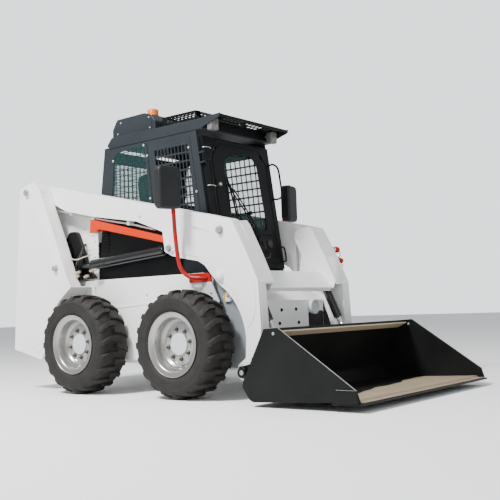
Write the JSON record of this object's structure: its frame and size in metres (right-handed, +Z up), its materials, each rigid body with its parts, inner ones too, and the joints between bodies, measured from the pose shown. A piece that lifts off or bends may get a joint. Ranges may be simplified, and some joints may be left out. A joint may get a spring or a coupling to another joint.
{
  "type": "skid steer loader",
  "caption": "Compact wheeled loader with an enclosed cab, twin lift arms beside it, and a wide low bucket at the front.",
  "frame": {"origin": "on the ground, below the middle of the machine's bounding box", "axes": "+Z up, -Y forward to the bucket, -X the machine's right-hand side"},
  "size_m": [1.894, 3.759, 2.4474],
  "materials": {
    "white_paint": "gloss",
    "slate_paint": "satin",
    "black_paint": "satin",
    "red_paint": "gloss",
    "orange_paint": "gloss",
    "bucket_paint": "satin",
    "worn_steel": "worn",
    "chrome": "polished",
    "rim_silver": "satin",
    "tyre_rubber": "matt",
    "tinted_glass": "clear",
    "beacon_orange": "gloss",
    "black_vinyl": "matt",
    "cast_iron": "rough"
  },
  "bodies": {
    "machine": {"chassis_frame": "white_paint", "tower_right": "white_paint", "tower_left": "white_paint", "engine_block": "cast_iron", "engine_hood": "white_paint", "side_cover_right": "black_paint", "side_cover_left": "black_paint", "front_axle": "cast_iron", "rear_axle": "cast_iron", "cab_floor": "slate_paint", "cab_side_right": "slate_paint", "cab_side_left": "slate_paint", "window_right": "tinted_glass", "window_left": "tinted_glass", "side_screen_right": "black_paint", "side_screen_left": "black_paint", "cab_rear": "slate_paint", "rear_window": "tinted_glass", "cab_roof": "slate_paint", "air_conditioner": "slate_paint", "beacon": "beacon_orange", "operator_seat": "black_vinyl", "mirror_arm_right": "red_paint", "mirror_arm_left": "red_paint", "mirror_right": "black_paint", "mirror_left": "black_paint"},
    "cab_door": {"door_frame": "black_paint", "door_glass": "tinted_glass"},
    "rear_door": {"rear_door": "white_paint"},
    "lift_arms": {"arm_right": "white_paint", "arm_left": "white_paint", "arm_crossmember": "white_paint", "arm_support": "orange_paint"},
    "bucket": {"bucket": "bucket_paint", "cutting_edge": "worn_steel", "quick_attach": "black_paint"},
    "wheel_front_right": {"tyre_front_right": "tyre_rubber", "rim_front_right": "rim_silver"},
    "wheel_front_left": {"tyre_front_left": "tyre_rubber", "rim_front_left": "rim_silver"},
    "wheel_rear_right": {"tyre_rear_right": "tyre_rubber", "rim_rear_right": "rim_silver"},
    "wheel_rear_left": {"tyre_rear_left": "tyre_rubber", "rim_rear_left": "rim_silver"},
    "lift_barrel_right": {"lift_barrel_right": "black_paint"},
    "lift_rod_right": {"lift_rod_right": "chrome"},
    "lift_barrel_left": {"lift_barrel_left": "black_paint"},
    "lift_rod_left": {"lift_rod_left": "chrome"},
    "tilt_barrel_right": {"tilt_barrel_right": "black_paint"},
    "tilt_rod_right": {"tilt_rod_right": "chrome"},
    "tilt_barrel_left": {"tilt_barrel_left": "black_paint"},
    "tilt_rod_left": {"tilt_rod_left": "chrome"}
  },
  "joints": [
    {"name": "wheel_front_right_roll", "type": "hinge", "parent": "machine", "child": "wheel_front_right", "pos_m": [-0.7305, -0.2275, 0.41], "axis": [1, 0, 0], "continuous": true},
    {"name": "wheel_front_left_roll", "type": "hinge", "parent": "machine", "child": "wheel_front_left", "pos_m": [0.7305, -0.2275, 0.41], "axis": [1, 0, 0], "continuous": true},
    {"name": "wheel_rear_right_roll", "type": "hinge", "parent": "machine", "child": "wheel_rear_right", "pos_m": [-0.7305, 0.9111, 0.41], "axis": [1, 0, 0], "continuous": true},
    {"name": "wheel_rear_left_roll", "type": "hinge", "parent": "machine", "child": "wheel_rear_left", "pos_m": [0.7305, 0.9111, 0.41], "axis": [1, 0, 0], "continuous": true},
    {"name": "cab_door_swing", "type": "hinge", "parent": "machine", "child": "cab_door", "pos_m": [-0.453, -0.27946, 1.52155], "axis": [0, 0.1385, 0.9904], "range_deg": [-75, 0]},
    {"name": "rear_door_swing", "type": "hinge", "parent": "machine", "child": "rear_door", "pos_m": [0.458, 1.8265, 1.1], "axis": [0, 0, -1], "range_deg": [0, 90]},
    {"name": "lift", "type": "hinge", "parent": "machine", "child": "lift_arms", "pos_m": [0, 1.6495, 1.768], "axis": [-1, 0, 0], "range_deg": [0, 56]},
    {"name": "bucket_tilt", "type": "hinge", "parent": "lift_arms", "child": "bucket", "pos_m": [0, -0.7175, 0.2], "axis": [1, 0, 0], "range_deg": [-28, 96]},
    {"name": "lift_barrel_right_swing", "type": "hinge", "parent": "machine", "child": "lift_barrel_right", "pos_m": [-0.56, 1.2635, 1.06], "axis": [-1, 0, 0], "range_deg": [-1, 60]},
    {"name": "lift_rod_right_slide", "type": "slide", "parent": "lift_barrel_right", "child": "lift_rod_right", "axis": [0, -0.9972, 0.0742], "range_m": [-0.01, 0.78]},
    {"name": "tilt_barrel_right_swing", "type": "hinge", "parent": "lift_arms", "child": "tilt_barrel_right", "pos_m": [-0.469, -0.5205, 1.252], "axis": [1, 0, 0], "range_deg": [-2, 4]},
    {"name": "tilt_rod_right_slide", "type": "slide", "parent": "tilt_barrel_right", "child": "tilt_rod_right", "axis": [0, -0.4218, -0.9067], "range_m": [-0.118, 0.395]},
    {"name": "lift_barrel_left_swing", "type": "hinge", "parent": "machine", "child": "lift_barrel_left", "pos_m": [0.56, 1.2635, 1.06], "axis": [-1, 0, 0], "range_deg": [-1, 60]},
    {"name": "lift_rod_left_slide", "type": "slide", "parent": "lift_barrel_left", "child": "lift_rod_left", "axis": [0, -0.9972, 0.0742], "range_m": [-0.01, 0.78]},
    {"name": "tilt_barrel_left_swing", "type": "hinge", "parent": "lift_arms", "child": "tilt_barrel_left", "pos_m": [0.469, -0.5205, 1.252], "axis": [1, 0, 0], "range_deg": [-2, 4]},
    {"name": "tilt_rod_left_slide", "type": "slide", "parent": "tilt_barrel_left", "child": "tilt_rod_left", "axis": [0, -0.4218, -0.9067], "range_m": [-0.118, 0.395]}
  ],
  "couplings": [
    {"joint": "lift_barrel_right_swing", "follows": "lift", "ratio": 0.97542},
    {"joint": "lift_rod_right_slide", "follows": "lift", "m_per_rad": 0.77369},
    {"joint": "tilt_barrel_right_swing", "follows": "bucket_tilt", "ratio": 0.035},
    {"joint": "tilt_rod_right_slide", "follows": "bucket_tilt", "m_per_rad": 0.23},
    {"joint": "lift_barrel_left_swing", "follows": "lift", "ratio": 0.97542},
    {"joint": "lift_rod_left_slide", "follows": "lift", "m_per_rad": 0.77369},
    {"joint": "tilt_barrel_left_swing", "follows": "bucket_tilt", "ratio": 0.035},
    {"joint": "tilt_rod_left_slide", "follows": "bucket_tilt", "m_per_rad": 0.23}
  ]
}
